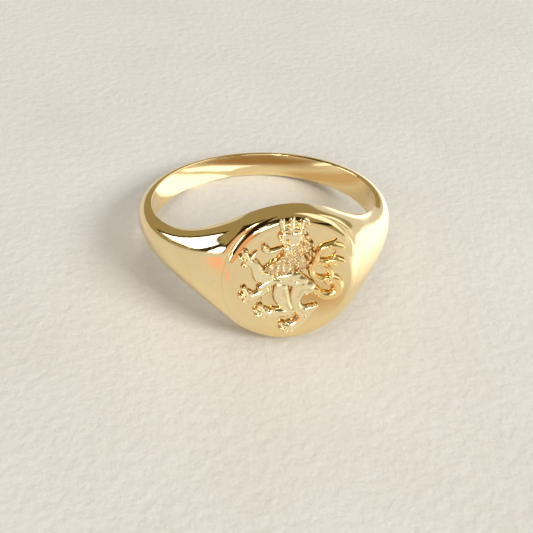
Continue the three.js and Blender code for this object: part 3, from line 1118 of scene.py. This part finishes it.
# %% Place the cards
left_shoulder = Vector((-0.008, -0.006, 0.006))
mirror_card("card_right_far", WHITE_CARD, 112, 35, 70, 60, distance=0.35, soft=0.3)
mirror_card("card_right_level", PALE_CARD, 84, 3, 60, 16, distance=0.40, soft=0.4)
mirror_card("card_window_large", WINDOW_CARD, -116, 12, 34, 9, tilt=12, seen_from=left_shoulder)
mirror_card("card_window_small", WINDOW_CARD, -84, 3.5, 11, 8, tilt=8, seen_from=left_shoulder)
mirror_card("card_dark_frame", DARK_CARD, -112, 11, 56, 13, distance=0.42, tilt=12, seen_from=left_shoulder)
mirror_card("card_dark_left", DARK_CARD, -108, 50, 78, 36, distance=0.42)
mirror_card("card_dark_post", DARK_CARD, -76, 24, 24, 38, distance=0.42, soft=0.2)
mirror_card("card_warm_high", WARM_CARD, -43, 18, 34, 48, soft=0.25)
mirror_card("card_front", CREAM_CARD, 0, 10, 130, 24, distance=0.45, soft=0.1)
mirror_card("card_front_white", HALO_CARD, -4, 35, 34, 14, distance=0.38, soft=0.3)
mirror_card("card_front_dark", DARK_CARD, 54, 29, 56, 9, distance=0.38, tilt=-8, soft=0.3)
mirror_card("card_above_dark", DARK_CARD, -20, 62, 70, 34, distance=0.42)

# %% Place the patches
# Painted reflections of the floor: the umber patch inside the hoop and the ochre one in front paint floor in
# the ring's shade, and the bright patches paint brightly lit floor.
patch_on_sheet("patch_right", BRIGHT_CARD, 36, -2, 54, 62, soft=0.35)
patch_on_sheet("patch_left_warm", ROSE_CARD, -38, -21, 50, 22, soft=0.5)
patch_on_sheet("patch_front_brown", OCHRE_CARD, 4, -19, 9, 9, soft=0.9)
patch_on_sheet("patch_inside_bright", BRIGHT_CARD, -3.2, 7.0, 4.4, 4.6, soft=0.25)
patch_on_sheet("patch_inside_line", BRIGHT_CARD, 0.1, 6.0, 0.7, 2.4, turn=30, soft=0.3)
patch_on_sheet("patch_inside_brown", UMBER_CARD, 0.7, 2.6, 4.6, 6.4, soft=0.55)
patch_on_sheet("patch_inside_gold", OCHRE_CARD, 3.6, 6.2, 3.2, 3.6, soft=0.6)
cards = [item for item in bpy.data.objects if item.name.startswith(("card_", "patch_"))]
print("cards and patches:", len(cards))

# %% [markdown]
# ## The room
# Behind the cards the metal sees a dim, brown room, while the sheet is lit by a neutral one.

# %% The room
NEUTRAL_ROOM = (0.88, 0.83, 0.75, 1)
NEUTRAL_STRENGTH = 0.34
BROWN_ROOM = (0.335, 0.275, 0.14, 1)
BROWN_STRENGTH = 1.0

world = bpy.data.worlds.new("room")
bpy.context.scene.world = world
world.use_nodes = True
tree = world.node_tree
neutral = tree.nodes["Background"]
neutral.inputs["Color"].default_value = NEUTRAL_ROOM
neutral.inputs["Strength"].default_value = NEUTRAL_STRENGTH
brown = tree.nodes.new("ShaderNodeBackground")
brown.inputs["Color"].default_value = BROWN_ROOM
brown.inputs["Strength"].default_value = BROWN_STRENGTH
ray = tree.nodes.new("ShaderNodeLightPath")
choose = tree.nodes.new("ShaderNodeMixShader")
tree.links.new(ray.outputs["Is Glossy Ray"], choose.inputs["Fac"])
tree.links.new(neutral.outputs["Background"], choose.inputs[1])
tree.links.new(brown.outputs["Background"], choose.inputs[2])
tree.links.new(choose.outputs["Shader"], tree.nodes["World Output"].inputs["Surface"])
bpy.context.scene.view_settings.view_transform = "Standard"
print("room:", world.name, "seen by mirror rays as brown, by others as neutral")
